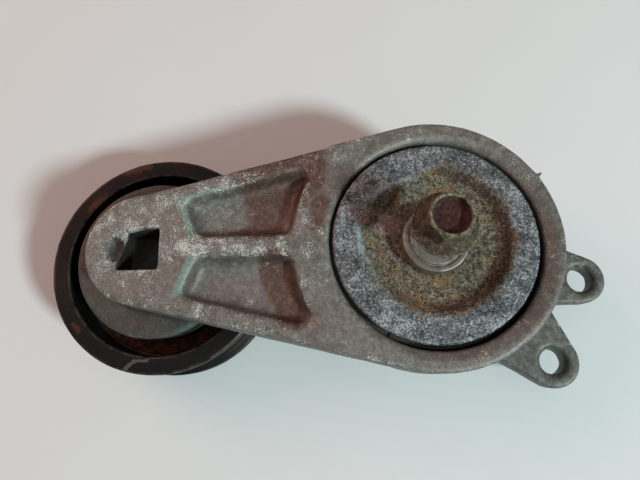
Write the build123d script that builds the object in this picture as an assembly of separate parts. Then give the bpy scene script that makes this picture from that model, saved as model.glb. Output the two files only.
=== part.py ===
# Belt tensioner idler: a sprung die-cast arm that carries a smooth, flanged idler pulley.
#
# The origin is on the pivot axis at the rear face of the base. +Z runs forward, from the face that
# bolts to the engine to the front cap, and the pulley lies along -X. All sizes are in millimetres.
from build123d import *
import os
from math import cos, radians, sin

# ---- driving dimensions ----
CENTRE_DISTANCE = 91.4      # pivot axis to pulley axis
ARM_TOP = 45.5              # front face of the arm, above the rear face
ARM_THICKNESS = 14.0        # the arm's plate, between pivot and pulley
PIVOT_RADIUS = 39.7         # arm casting round the pivot
END_RADIUS = 17.7           # arm casting round the pulley end
SWING_DEG = 38.0            # travel of the arm from its free stop

PULLEY_RADIUS = 38.1        # over the flanges, a 3 inch idler
BELT_RADIUS = 35.2          # smooth running surface
PULLEY_WIDTH = 25.8
BEARING_BORE = 17.0         # deep-groove ball bearing, 47 x 17 x 14
BEARING_OUTSIDE = 47.0
BEARING_WIDTH = 14.0
BALL_DIAMETER = 8.73
BALL_COUNT = 7

CUP_RADIUS = 37.5           # base housing
CUP_HEIGHT = 23.0
CUP_WALL = 3.5
CUP_FLOOR = 5.0
TUBE_RADIUS = 8.0           # steel pivot tube
TUBE_BORE = 4.6             # radius, clears an M8 bolt
SEAT_RADIUS = 10.25         # staked front end of the pivot tube
SEAT_HEIGHT = 46.8
CAP_RADIUS = 31.7

BOLT_RADIUS = 4.0           # M8 mounting bolt
BOLT_LENGTH = 60.0          # under the head
BOLT_FLANGE_RADIUS = 9.4
BOLT_ACROSS_FLATS = 12.0

EAR_LOW, EAR_HIGH = 12.5, 19.5
EAR_HOLE_RADIUS = 4.25
EAR_HOLE_CHAMFER = 1.4
# Each ear: hole centre, tip radius, root circle centre and root circle radius.
EARS = [
    ((55.0, -8.8), 8.3, (35.5, -4.5), 12.6),
    ((41.5, -36.5), 8.8, (26.9, -20.0), 15.0),
]

SPRING_RADIUS = 25.2        # torsion spring, centre line of the wire
SPRING_WIRE = 5.6
SPRING_PITCH = 6.2
SPRING_TURNS = 3.5
SPRING_START_DEG = -90.0    # where the spring's lower end stands
SPRING_LUG_DEG = 13.0       # from the wire's cut end to the far side of the lug that it pushes
SPRING_LUG_GAP_DEG = 1.8    # the cut end leans with the helix, so the lug stands off it

GAP = 0.3                   # free gap between parts that turn against each other
RUNNING = 0.05              # radial clearance of a running fit

# ---- sizes that follow ----
PLATE_BOTTOM = ARM_TOP - ARM_THICKNESS
PULLEY_AXIS = (-CENTRE_DISTANCE, 0)
CUP_BORE = CUP_RADIUS - CUP_WALL
BEARING_LOW = 7.5
BEARING_HIGH = BEARING_LOW + BEARING_WIDTH
BEARING_MIDDLE = (BEARING_LOW + BEARING_HIGH) / 2
BALL_RADIUS = BALL_DIAMETER / 2
BALL_PITCH_RADIUS = (BEARING_BORE + BEARING_OUTSIDE) / 4
SKIRT_BOTTOM = CUP_HEIGHT + 1.0
HUB_RADIUS = 15.0
BUSHING_RADIUS = 10.0
WEB_LOW, WEB_HIGH = 33.0, 37.2  # the arm's web, between its hub and its skirt
SKIRT_BORE = 34.3
SPRING_LOW = CUP_FLOOR + GAP
SPRING_TOP = SPRING_LOW + SPRING_WIRE + SPRING_PITCH * SPRING_TURNS

BASE_ALIGN = (Align.CENTER, Align.CENTER, Align.MIN)


# ---- shapes used more than once ----
def disc(radius, low, high, centre=(0, 0)):
    """A solid cylinder between two heights."""
    return Pos(*centre, low) * Cylinder(radius, high - low, align=BASE_ALIGN)


def ring(outer, inner, low, high, centre=(0, 0)):
    """A cylinder with a bore right through it."""
    return disc(outer, low, high, centre) - disc(inner, low - 1, high + 1, centre)


def turned(profile, centre=(0, 0)):
    """A turned solid, from its half section as (radius, height) points."""
    points = [(radius, 0, height) for radius, height in profile]
    section = make_face(Polyline(*points, close=True))
    return Pos(*centre, 0) * revolve(section, axis=Axis.Z)


def sector(outer, inner, low, high, start, end):
    """A block that fills part of a ring, between two angles in degrees."""
    corners = [(inner, 0, low), (outer, 0, low), (outer, 0, high), (inner, 0, high)]
    section = make_face(Polyline(*corners, close=True))
    return Rot(0, 0, start) * revolve(section, axis=Axis.Z, revolution_arc=end - start)


def arm_outline(inset=0.0):
    """The arm seen from the front: two circles and their common tangents."""
    pivot = Circle(PIVOT_RADIUS - inset)
    end = Pos(*PULLEY_AXIS) * Circle(END_RADIUS - inset)
    return make_hull(pivot.edges() + end.edges())


# ---- arm casting ----
RIB_WIDTH = 6.2             # rib between the two front pockets
POCKET_INSET = 5.5          # metal left along the arm's edge
POCKET_DEPTH = 5.5
POCKET_PIVOT_RADIUS = 44.3  # the pockets end on this circle about the pivot
POCKET_CORNER = 2.2
RECESS_RADIUS = 34.2        # bore in the front face, round the cap
RECESS_OFFSET = (1.4, -0.6)
BOSS_DISC_RADIUS = 26.7
BOSS_DISC_THICKNESS = 3.0
STUB_RADIUS = 12.0
STUB_LOW = 22.3             # shoulder that clamps the front dust shield
SQUARE_DRIVE = 13.1         # takes a half inch square drive
SQUARE_DRIVE_X = -92.4
SQUARE_DRIVE_FLOOR = 33.0
THREAD_RADIUS = 5.0         # M10 pulley bolt
THREAD_TOP = 30.0
STOP_ANGLE_DEG = 120.0      # middle of the base's stop lug
STOP_WIDTH_DEG = 8.0
STOP_CLEARANCE_DEG = 0.7


def front_pocket():
    """One cored pocket between the centre rib and the arm's upper edge."""
    reach = PIVOT_RADIUS
    rib = RIB_WIDTH / 2
    wedge = Polygon((-74.0, rib), (0, rib), (0, reach), (-89.0, reach), align=None)
    outline = (arm_outline(POCKET_INSET) & wedge) - Circle(POCKET_PIVOT_RADIUS)
    outline = fillet(outline.vertices(), POCKET_CORNER)
    return Pos(0, 0, ARM_TOP) * extrude(outline, amount=-POCKET_DEPTH, taper=18)


def rear_pocket():
    """One lightening pocket under the arm, on the same side of the rib."""
    wedge = Polygon((-90, 2.6), (0, 2.6), (0, PIVOT_RADIUS), (-90, PIVOT_RADIUS), align=None)
    outline = (arm_outline(4.5) & wedge) - Circle(41.5)
    outline -= Pos(*PULLEY_AXIS) * Circle(BOSS_DISC_RADIUS + 0.8)
    outline = fillet(outline.vertices(), 1.5)
    ceiling = ARM_TOP - POCKET_DEPTH - 3.5
    return Pos(0, 0, PLATE_BOTTOM - 1) * extrude(outline, amount=ceiling - PLATE_BOTTOM + 1)


def arm_casting():
    plate = Pos(0, 0, PLATE_BOTTOM) * extrude(arm_outline(), amount=ARM_THICKNESS)
    front_rim = plate.edges().group_by(Axis.Z)[-1]
    plate = fillet(front_rim, 1.2)
    boss_disc = disc(
        BOSS_DISC_RADIUS, PLATE_BOTTOM - BOSS_DISC_THICKNESS, PLATE_BOTTOM, PULLEY_AXIS
    )
    boss_disc = fillet(boss_disc.edges().group_by(Axis.Z)[-1], 1.0)
    arm = plate + disc(PIVOT_RADIUS, SKIRT_BOTTOM, PLATE_BOTTOM + 1) + boss_disc

    arm -= disc(SKIRT_BORE, SKIRT_BOTTOM - 1, WEB_LOW)
    arm += disc(HUB_RADIUS, CUP_FLOOR + 1.5, WEB_LOW + 1)
    arm += disc(STUB_RADIUS, STUB_LOW, PLATE_BOTTOM, PULLEY_AXIS)
    arm += disc(BEARING_BORE / 2, BEARING_LOW + 0.7, STUB_LOW, PULLEY_AXIS)

    recess = disc(RECESS_RADIUS, WEB_HIGH, ARM_TOP + 1, RECESS_OFFSET)
    arm -= recess
    recess_rim = arm.edges().filter_by(GeomType.CIRCLE).group_by(Axis.Z)[-1]
    recess_rim = recess_rim.filter_by(lambda edge: abs(edge.radius - RECESS_RADIUS) < 0.01)
    arm = fillet(recess_rim, 1.8)

    arm -= disc(BUSHING_RADIUS, 0, ARM_TOP)
    arm -= disc(THREAD_RADIUS, 0, THREAD_TOP, PULLEY_AXIS)
    for pocket in (front_pocket(), rear_pocket()):
        arm -= pocket
        arm -= mirror(pocket, about=Plane.XZ)

    drive = extrude(Rectangle(SQUARE_DRIVE, SQUARE_DRIVE), amount=ARM_TOP - SQUARE_DRIVE_FLOOR + 1)
    arm -= Pos(SQUARE_DRIVE_X, 0, SQUARE_DRIVE_FLOOR) * drive
    punch_mark = extrude(SlotOverall(7.6, 2.8, rotation=90), amount=-1.6, taper=15)
    arm -= Pos(-100.8, 0.2, ARM_TOP) * punch_mark

    flash = Box(4.0, 1.0, 1.4, align=(Align.MIN, Align.CENTER, Align.MAX))
    arm += Rot(0, 0, 31) * Pos(PIVOT_RADIUS - 2, 0, ARM_TOP - 1.0) * flash

    window_end = STOP_ANGLE_DEG + STOP_WIDTH_DEG / 2 + STOP_CLEARANCE_DEG
    window_start = window_end - STOP_WIDTH_DEG - SWING_DEG - 2 * STOP_CLEARANCE_DEG
    arm -= sector(CUP_RADIUS + 0.1, SKIRT_BORE - 1, SKIRT_BOTTOM - 1, 27.8, window_start, window_end)

    spring_end = SPRING_START_DEG - 360 * SPRING_TURNS
    lug_reach = SPRING_WIRE / 2
    arm += sector(
        SPRING_RADIUS + lug_reach,
        SPRING_RADIUS - lug_reach,
        SPRING_TOP - SPRING_WIRE + 0.3,
        WEB_LOW + 1,
        spring_end - SPRING_LUG_DEG,
        spring_end - SPRING_LUG_GAP_DEG,
    )
    return arm


# ---- base ----
def ear(hole, tip_radius, root, root_radius):
    """A mounting ear: its plate runs from the tip round the hole into the cup's wall."""
    tip = Pos(*hole) * Circle(tip_radius)
    heel = Pos(*root) * Circle(root_radius)
    return Pos(0, 0, EAR_LOW) * extrude(
        make_hull(tip.edges() + heel.edges()), amount=EAR_HIGH - EAR_LOW
    )


def base_housing():
    cup = turned([
        (0, 0),
        (CUP_RADIUS - 1.5, 0),
        (CUP_RADIUS, 1.5),
        (CUP_RADIUS, CUP_HEIGHT),
        (0, CUP_HEIGHT),
    ])
    ears = Part() + [ear(*shape) for shape in EARS]
    rims = ears.edges().group_by(Axis.Z)
    ears = fillet(rims[-1] + rims[0], 0.8)
    housing = cup + ears - disc(CUP_BORE, CUP_FLOOR, CUP_HEIGHT + 1)

    for hole, *_ in EARS:
        housing -= disc(EAR_HOLE_RADIUS, EAR_LOW - 1, EAR_HIGH + 1, hole)
        mouth = Cone(
            EAR_HOLE_RADIUS,
            EAR_HOLE_RADIUS + EAR_HOLE_CHAMFER,
            EAR_HOLE_CHAMFER,
            align=BASE_ALIGN,
        )
        housing -= Pos(*hole, EAR_HIGH - EAR_HOLE_CHAMFER) * mouth

    housing -= disc(TUBE_RADIUS, -1, CUP_FLOOR + 1)
    housing -= ring(30.0, 15.5, -1, 1.6)

    half_stop = STOP_WIDTH_DEG / 2
    housing += sector(
        CUP_RADIUS - GAP,
        CUP_BORE + 0.6,
        CUP_HEIGHT - 1,
        27.3,
        STOP_ANGLE_DEG - half_stop,
        STOP_ANGLE_DEG + half_stop,
    )
    lug_reach = SPRING_WIRE / 2
    housing += sector(
        SPRING_RADIUS + lug_reach,
        SPRING_RADIUS - lug_reach,
        CUP_FLOOR - 1,
        CUP_FLOOR + SPRING_WIRE + 0.4,
        SPRING_START_DEG + SPRING_LUG_GAP_DEG,
        SPRING_START_DEG + SPRING_LUG_DEG,
    )
    return housing


def pivot_tube():
    """The steel tube that the arm turns on, staked over the cap at its front end."""
    collar_low = 41.2
    return turned([
        (TUBE_BORE + 0.6, 0),
        (TUBE_RADIUS, 0),
        (TUBE_RADIUS, collar_low),
        (SEAT_RADIUS, collar_low),
        (SEAT_RADIUS, SEAT_HEIGHT - 0.6),
        (SEAT_RADIUS - 0.6, SEAT_HEIGHT),
        (TUBE_BORE + 0.5, SEAT_HEIGHT),
        (TUBE_BORE, SEAT_HEIGHT - 0.5),
        (TUBE_BORE, 0.6),
    ])


def front_cap():
    """A pressed steel plate with a shallow dish, sunk a little off its own centre."""
    rim_low, rim_top, rim_thickness = 43.5, 45.3, 1.8
    floor_top = 41.2
    dish_centre = (0.4, 1.0)
    wide, narrow = 24.4, 19.2
    sheet = 0.4                 # extra radius outside, from the sheet's thickness on the slope

    plate = disc(CAP_RADIUS, rim_low, rim_top)
    plate = fillet(plate.edges().group_by(Axis.Z)[-1], 0.9)
    outside = turned([
        (0, floor_top - rim_thickness),
        (narrow + sheet, floor_top - rim_thickness),
        (wide + sheet, rim_low),
        (wide + sheet, rim_low + 0.5),
        (0, rim_low + 0.5),
    ], dish_centre)
    inside = turned([
        (0, floor_top),
        (narrow, floor_top),
        (wide, rim_top),
        (wide, rim_top + 1),
        (0, rim_top + 1),
    ], dish_centre)
    cap = plate + outside - inside - disc(TUBE_RADIUS, 0, ARM_TOP)

    # A pressed channel runs from the dish into the rim, shallower towards its end.
    slope = Polygon((18, 42.6), (24, 44.0), (30, rim_top), (18, rim_top), align=None)
    channel = extrude(Plane.XZ * slope, amount=4.2, both=True)
    return cap - Rot(0, 0, 157) * channel


def torsion_spring():
    """Round wire wound left-handed; its two cut ends push on a lug of the base and of the arm."""
    centre_line = Helix(
        pitch=SPRING_PITCH,
        height=SPRING_PITCH * SPRING_TURNS,
        radius=SPRING_RADIUS,
        lefthand=True,
    )
    section = Plane(centre_line @ 0, z_dir=centre_line % 0) * Circle(SPRING_WIRE / 2)
    coil = sweep(section, path=centre_line, is_frenet=True)
    return Pos(0, 0, SPRING_LOW + SPRING_WIRE / 2) * Rot(0, 0, SPRING_START_DEG) * coil


def spring_bushing():
    """A slit plastic sleeve that keeps the spring off the cup and damps it."""
    sleeve = ring(CUP_BORE - 0.1, SPRING_RADIUS + SPRING_WIRE / 2 + 0.8, CUP_FLOOR, 27.5)
    slit = sector(CUP_BORE + 1, SPRING_RADIUS, CUP_FLOOR - 1, 29, 20, 27)
    return sleeve - slit


def thrust_washer():
    return ring(HUB_RADIUS - 0.5, TUBE_RADIUS + 0.15, CUP_FLOOR, CUP_FLOOR + 1.2)


def disc_spring():
    """A coned steel washer that loads the damping ring against the arm."""
    low, high, thickness = 40.1, 43.5, 1.0
    inner, outer = 27.2, 31.2
    return turned([
        (inner, high - thickness),
        (outer, low),
        (outer, low + thickness),
        (inner, high),
    ])


# ---- other pieces that swing with the arm ----
def pivot_bushing():
    return ring(BUSHING_RADIUS, TUBE_RADIUS + RUNNING, CUP_FLOOR + 1.5, WEB_HIGH - 0.2)


def damping_ring():
    """A friction ring with radial grease grooves in its front face."""
    low, high = WEB_HIGH, 39.8
    friction = ring(32.5, 24.2, low, high)
    for turn in range(6):
        groove = Box(12, 2.0, 1.6, align=(Align.MIN, Align.CENTER, Align.CENTER))
        friction -= Rot(0, 0, 60 * turn) * Pos(23, 0, high) * groove
    return friction


def pulley_bolt():
    """An M10 flange bolt with a low head, entered from the rear."""
    head_low, flange_low = 1.2, 5.2
    under_head = 6.7
    x, y = PULLEY_AXIS
    hexagon = extrude(RegularPolygon(7.5, 6, major_radius=False), amount=flange_low - head_low)
    hexagon &= Cone(7.4, 11.4, flange_low - head_low, align=BASE_ALIGN)
    flange = turned([(0, flange_low), (8.6, flange_low), (10.4, 6.0), (10.4, under_head), (0, under_head)])
    shank = disc(THREAD_RADIUS, under_head, 28.0)
    return Pos(x, y, 0) * (Pos(0, 0, head_low) * hexagon + flange + shank)


def rear_dust_shield():
    """A pressed washer that stands off the bearing outside the ring it is clamped to."""
    inner, clamped, outer = THREAD_RADIUS + 0.1, 11.6, 20.8
    face, sheet, standoff = BEARING_LOW, 0.8, 0.5
    return turned([
        (inner, face),
        (clamped, face),
        (clamped + 1, face - standoff),
        (outer, face - standoff),
        (outer, face - standoff - sheet),
        (clamped + 1, face - standoff - sheet),
        (clamped, face - sheet),
        (inner, face - sheet),
    ], PULLEY_AXIS)


def front_dust_shield():
    inner, clamped, outer = BEARING_BORE / 2, 11.6, 22.3
    face, sheet, standoff = BEARING_HIGH, 0.8, 0.5
    return turned([
        (inner, face),
        (clamped, face),
        (clamped + 1, face + standoff),
        (outer, face + standoff),
        (outer, face + standoff + sheet),
        (clamped + 1.6, face + standoff + sheet),
        (clamped + 0.6, face + sheet),
        (inner, face + sheet),
    ], PULLEY_AXIS)


# ---- bearing and pulley ----
RACE_CLEARANCE = 0.03
INNER_RACE_RADIUS = 0.515 * BALL_DIAMETER
OUTER_RACE_RADIUS = 0.52 * BALL_DIAMETER
INNER_LAND = 12.1
OUTER_LAND = 19.9
SEAL_SEAT = 20.8
SEAL_DEPTH = 1.0


def race_groove(pitch_radius, groove_radius):
    """The torus that a raceway is cut with."""
    return Pos(*PULLEY_AXIS, BEARING_MIDDLE) * Torus(pitch_radius, groove_radius)


def bearing_inner_ring():
    body = ring(INNER_LAND, BEARING_BORE / 2, BEARING_LOW, BEARING_HIGH, PULLEY_AXIS)
    groove_bottom = BALL_PITCH_RADIUS - BALL_RADIUS - RACE_CLEARANCE
    return body - race_groove(groove_bottom + INNER_RACE_RADIUS, INNER_RACE_RADIUS)


def bearing_outer_ring():
    body = ring(BEARING_OUTSIDE / 2, OUTER_LAND, BEARING_LOW, BEARING_HIGH, PULLEY_AXIS)
    groove_bottom = BALL_PITCH_RADIUS + BALL_RADIUS + RACE_CLEARANCE
    body -= race_groove(groove_bottom - OUTER_RACE_RADIUS, OUTER_RACE_RADIUS)
    body -= disc(SEAL_SEAT, BEARING_LOW - 1, BEARING_LOW + SEAL_DEPTH, PULLEY_AXIS)
    return body - disc(SEAL_SEAT, BEARING_HIGH - SEAL_DEPTH, BEARING_HIGH + 1, PULLEY_AXIS)


def bearing_seal(low):
    return ring(SEAL_SEAT, INNER_LAND + 0.1, low, low + 0.8, PULLEY_AXIS)


def ball_places():
    for number in range(BALL_COUNT):
        angle = radians(360 * number / BALL_COUNT)
        x = PULLEY_AXIS[0] + BALL_PITCH_RADIUS * cos(angle)
        y = PULLEY_AXIS[1] + BALL_PITCH_RADIUS * sin(angle)
        yield Pos(x, y, BEARING_MIDDLE)


def bearing_balls():
    return Compound(children=[place * Sphere(BALL_RADIUS) for place in ball_places()])


def bearing_cage():
    """A crown cage: a ring beside the balls, with a pocket snapped over each of them."""
    crown = ring(17.4, 14.6, BEARING_MIDDLE - 1.2, BEARING_MIDDLE + 5.8, PULLEY_AXIS)
    for place in ball_places():
        crown -= place * Sphere(BALL_RADIUS + 0.12)
    return crown


def pulley_rim():
    """The smooth steel pulley: a hub on the bearing, a web and a flanged rim, in one piece."""
    hub_inner, hub_outer = BEARING_OUTSIDE / 2, 26.0
    lip_inner = 21.6
    web_low, web_high = 11.0, 14.0
    rim_inner = 32.0
    flange = 3.3
    edge = 0.6
    ridges, ridge_pitch, ridge_height = 4, 1.1, 0.45

    web_face = [(rim_inner, web_high)]
    for number in range(ridges):
        crest = rim_inner - 1.6 - ridge_pitch * number
        web_face += [
            (crest + ridge_pitch / 2, web_high),
            (crest, web_high + ridge_height),
        ]
    web_face += [(crest - ridge_pitch / 2, web_high)]
    return turned([
        (rim_inner, 0),
        (PULLEY_RADIUS - edge, 0),
        (PULLEY_RADIUS, edge),
        (PULLEY_RADIUS, flange - 0.4),
        (BELT_RADIUS, flange + 0.5),
        (BELT_RADIUS, PULLEY_WIDTH - flange - 0.5),
        (PULLEY_RADIUS, PULLEY_WIDTH - flange + 0.4),
        (PULLEY_RADIUS, PULLEY_WIDTH - edge),
        (PULLEY_RADIUS - edge, PULLEY_WIDTH),
        (rim_inner + edge, PULLEY_WIDTH),
        (rim_inner, PULLEY_WIDTH - edge),
        *web_face,
        (hub_outer, web_high),
        (hub_outer, BEARING_HIGH + 0.6),
        (hub_inner, BEARING_HIGH + 0.6),
        (hub_inner, BEARING_LOW),
        (lip_inner, BEARING_LOW),
        (lip_inner, BEARING_LOW - 1),
        (hub_outer, BEARING_LOW - 1),
        (hub_outer, web_low),
        (rim_inner, web_low),
    ], PULLEY_AXIS)


# ---- mounting bolt ----
BOLT_PLACE = (-0.4, 0.3)    # the loose bolt leans on one side of its bore


def mounting_bolt():
    """An M8 flange bolt standing in the pivot tube with its tip on the rear face's level."""
    flange_top, head_top = BOLT_LENGTH + 3.0, BOLT_LENGTH + 9.6
    head_height = head_top - BOLT_LENGTH
    hexagon = RegularPolygon(BOLT_ACROSS_FLATS / 2, 6, major_radius=False)
    head = Pos(0, 0, BOLT_LENGTH) * extrude(Rot(0, 0, 10) * hexagon, amount=head_height)
    head &= turned([
        (0, BOLT_LENGTH),
        (8, BOLT_LENGTH),
        (8, head_top - 1.5),
        (6.0, head_top),
        (0, head_top),
    ])
    flange = turned([
        (0, BOLT_LENGTH),
        (BOLT_FLANGE_RADIUS - 0.3, BOLT_LENGTH),
        (BOLT_FLANGE_RADIUS, BOLT_LENGTH + 0.4),
        (BOLT_FLANGE_RADIUS, BOLT_LENGTH + 1.1),
        (6.4, flange_top),
        (0, flange_top),
    ])
    shank = turned([(0, 0), (BOLT_RADIUS - 1, 0), (BOLT_RADIUS, 1), (BOLT_RADIUS, 61), (0, 61)])
    hollow = turned([
        (0, head_top - 2.4),
        (4.0, head_top - 2.4),
        (4.9, head_top - 1.6),
        (5.2, head_top + 1),
        (0, head_top + 1),
    ])
    return Pos(*BOLT_PLACE, 0) * (head + flange + shank - hollow)


NODES = {
    "base_housing": base_housing(),
    "pivot_tube": pivot_tube(),
    "front_cap": front_cap(),
    "torsion_spring": torsion_spring(),
    "spring_bushing": spring_bushing(),
    "thrust_washer": thrust_washer(),
    "disc_spring": disc_spring(),
    "arm_casting": arm_casting(),
    "pivot_bushing": pivot_bushing(),
    "damping_ring": damping_ring(),
    "pulley_bolt": pulley_bolt(),
    "rear_dust_shield": rear_dust_shield(),
    "front_dust_shield": front_dust_shield(),
    "bearing_inner_ring": bearing_inner_ring(),
    "bearing_outer_ring": bearing_outer_ring(),
    "bearing_seal_rear": bearing_seal(BEARING_LOW + 0.1),
    "bearing_seal_front": bearing_seal(BEARING_HIGH - 0.9),
    "bearing_balls": bearing_balls(),
    "bearing_cage": bearing_cage(),
    "pulley_rim": pulley_rim(),
    "mounting_bolt": mounting_bolt(),
}

os.makedirs("parts", exist_ok=True)
for name, solid in NODES.items():
    export_step(solid, f"parts/{name}.step")
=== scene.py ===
# Looks of the belt tensioner idler: a weathered die-cast arm, a rusted front cap and bolt, and a
# worn black pulley. Lengths are in metres; MM turns millimetres into them.
from itertools import product
from math import pi, radians

import bpy
import numpy as np
from mathutils import Euler, Matrix, Vector


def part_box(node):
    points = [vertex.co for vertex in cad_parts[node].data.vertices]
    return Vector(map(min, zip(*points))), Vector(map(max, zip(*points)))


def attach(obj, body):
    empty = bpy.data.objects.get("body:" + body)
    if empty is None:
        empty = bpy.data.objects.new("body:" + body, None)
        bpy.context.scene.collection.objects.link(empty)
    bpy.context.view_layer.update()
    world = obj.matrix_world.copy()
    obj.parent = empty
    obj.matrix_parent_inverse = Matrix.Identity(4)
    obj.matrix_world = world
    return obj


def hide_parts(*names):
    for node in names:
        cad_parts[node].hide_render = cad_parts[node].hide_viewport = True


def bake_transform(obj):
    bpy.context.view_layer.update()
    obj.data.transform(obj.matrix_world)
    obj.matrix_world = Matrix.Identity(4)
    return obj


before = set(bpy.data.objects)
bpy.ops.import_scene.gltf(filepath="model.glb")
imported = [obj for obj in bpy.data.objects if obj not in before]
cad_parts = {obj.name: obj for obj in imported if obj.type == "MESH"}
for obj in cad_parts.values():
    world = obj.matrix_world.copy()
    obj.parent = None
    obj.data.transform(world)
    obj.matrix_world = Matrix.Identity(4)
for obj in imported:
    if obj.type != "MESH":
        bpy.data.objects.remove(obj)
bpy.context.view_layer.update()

MM = 0.001
TURN = 2 * pi


# ---------------------------------------------------------------- places, from the CAD parts
def node_box(node):
    """The node's lowest and highest corners, as arrays."""
    low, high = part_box(node)
    return np.array(low), np.array(high)


def node_centre(node):
    low, high = node_box(node)
    return (low + high) / 2


def node_radius(node):
    """Half the width of a round node."""
    low, high = node_box(node)
    return (high[0] - low[0]) / 2


ARM_LOW, ARM_HIGH = node_box("arm_casting")
ARM_TOP = ARM_HIGH[2]
PIVOT = node_centre("front_cap")[:2]
PULLEY = node_centre("pulley_rim")[:2]
CAP_TOP = node_box("front_cap")[1][2]
CAP_LOW = node_box("front_cap")[0][2]
CAP_RADIUS = node_radius("front_cap")
SHEET = 1.8 * MM                        # thickness of the cap


# ---------------------------------------------------------------- noise and mesh tools
def lattice_noise(points, size, seed):
    """Smooth noise from -1 to 1, with features about size across."""
    place = points / size + 0.37 * seed
    cell = np.floor(place).astype(np.int64)
    part = place - cell
    part = part * part * (3 - 2 * part)
    total = np.zeros(len(points))
    for corner in product((0, 1), repeat=3):
        at = cell + np.array(corner)
        mixed = at[:, 0] * 73856093 ^ at[:, 1] * 19349663 ^ at[:, 2] * 83492791 ^ seed * 2654435
        mixed = (mixed * 1103515245 + 12345) & 0x7FFFFFFF
        mixed = ((mixed >> 7) * 69069 + 1) & 0x7FFFFFFF
        value = (mixed >> 8 & 0xFFFF) / 32767.5 - 1
        weight = np.where(np.array(corner) == 1, part, 1 - part).prod(1)
        total += value * weight
    return total


def smooth_step(value, low, high):
    """0 below low, 1 above high, and a smooth rise between them."""
    share = np.clip((value - low) / (high - low), 0, 1)
    return share * share * (3 - 2 * share)


def segment_distance(points, start, end):
    """How far each point lies from a straight segment, in plan."""
    start, end = np.array(start) * MM, np.array(end) * MM
    line = end - start
    share = np.clip((points[:, :2] - start) @ line / (line @ line), 0, 1)
    return np.linalg.norm(points[:, :2] - start - share[:, None] * line, axis=1)


def mark(points, start, end, reach):
    """1 on a straight line drawn in plan, falling away from it over reach, in millimetres."""
    return np.exp(-(segment_distance(points, start, end) / (reach * MM)) ** 2)


def vertex_places(mesh):
    places = np.empty(len(mesh.vertices) * 3)
    mesh.vertices.foreach_get("co", places)
    return places.reshape(-1, 3)


def vertex_normals(mesh):
    normals = np.empty(len(mesh.vertices) * 3)
    mesh.vertex_normals.foreach_get("vector", normals)
    return normals.reshape(-1, 3)


def move_vertices(mesh, places):
    mesh.vertices.foreach_set("co", places.ravel())
    mesh.update()


def relaxed(places, edges, rounds):
    """The places after each has moved halfway to its neighbours' mean, a number of times."""
    count = len(places)
    ends = np.concatenate([edges, edges[:, ::-1]])
    degree = np.bincount(ends[:, 0], minlength=count)[:, None]
    for _ in range(rounds):
        total = [np.bincount(ends[:, 0], places[ends[:, 1], k], count) for k in range(3)]
        places = 0.5 * places + 0.5 * np.stack(total, 1) / degree
    return places


def mesh_edges(mesh):
    edges = np.empty(len(mesh.edges) * 2, np.int32)
    mesh.edges.foreach_get("vertices", edges)
    return edges.reshape(-1, 2)


def paint(mesh, name, values):
    """Stores one number for each vertex, for a material to read."""
    layer = mesh.attributes.new(name, "FLOAT", "POINT")
    layer.data.foreach_set("value", np.asarray(values, np.float32))


def paint_curvature(mesh, reach):
    """Stores how far each vertex stands out of its surroundings, from -1 to 1 over reach."""
    places = vertex_places(mesh)
    drawn_in = places - relaxed(places, mesh_edges(mesh), 8)
    standing = (drawn_in * vertex_normals(mesh)).sum(1)
    paint(mesh, "convex", np.clip(standing / reach, -1, 1))


def roughen(mesh, layers, box, share=1.0):
    """Pushes the surface in and out by noise, and keeps it inside a box.

    layers holds (feature size, depth, seed), in millimetres; share scales the push at each vertex.
    """
    places, normals = vertex_places(mesh), vertex_normals(mesh)
    offset = sum(
        depth * MM * lattice_noise(places, size * MM, seed) for size, depth, seed in layers
    )
    places = places + normals * (offset * share)[:, None]
    move_vertices(mesh, np.clip(places, *box))


def free_piece(name, mesh, node, material):
    """An object for a finished mesh that stands for a CAD node."""
    piece = bpy.data.objects.new(name, mesh)
    bpy.context.scene.collection.objects.link(piece)
    mesh.materials.clear()
    mesh.materials.append(material)
    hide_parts(node)
    return piece


def new_piece(name, mesh, body, node, material):
    """A smooth-shaded piece that stands for a CAD node and rides on a body."""
    mesh.polygons.foreach_set("use_smooth", [True] * len(mesh.polygons))
    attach(free_piece(name, mesh, node, material), body)


def spun_mesh(name, rows, closed):
    """A mesh from rows of points round an axis; a closed one joins its last row to its first.

    An open one ends in a single point at each end.
    """
    count, segments = rows.shape[:2]
    places = rows.reshape(-1, 3)
    around = np.arange(segments)
    after = (around + 1) % segments
    faces = []
    last = count if closed else count - 1
    for row in range(last):
        this, above = row * segments, (row + 1) % count * segments
        faces.append(np.stack([this + around, this + after, above + after, above + around], 1))
    faces = np.concatenate(faces).tolist()
    if not closed:
        tips = np.stack([rows[0].mean(0), rows[-1].mean(0)])
        first, final = len(places), len(places) + 1
        top = (count - 1) * segments
        faces += [[first, int(b), int(a)] for a, b in zip(around, after)]
        faces += [[final, int(top + a), int(top + b)] for a, b in zip(around, after)]
        places = np.concatenate([places, tips])
    mesh = bpy.data.meshes.new(name)
    mesh.from_pydata(places.tolist(), [], faces)
    mesh.update()
    return mesh


def rounded_profile(corners, step):
    """Points along a closed outline of (radius, height, rounding) corners, in millimetres."""
    points = np.array([corner[:2] for corner in corners], float)
    count = len(points)
    outline = []
    for index, (_, _, rounding) in enumerate(corners):
        here = points[index]
        back, ahead = points[index - 1] - here, points[(index + 1) % count] - here
        reach = min(rounding, 0.45 * np.linalg.norm(back), 0.45 * np.linalg.norm(ahead))
        start = here + back / np.linalg.norm(back) * reach
        end = here + ahead / np.linalg.norm(ahead) * reach
        for share in np.linspace(0, 1, 5):
            rest = 1 - share
            outline.append(rest**2 * start + 2 * share * rest * here + share**2 * end)
    dense = []
    for first, second in zip(outline, outline[1:] + outline[:1]):
        length = np.linalg.norm(second - first)
        if length < 1e-6:               # two roundings that meet
            continue
        pieces = max(1, round(length / step))
        dense += [first + (second - first) * k / pieces for k in range(pieces)]
    return np.array(dense) * MM


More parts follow.
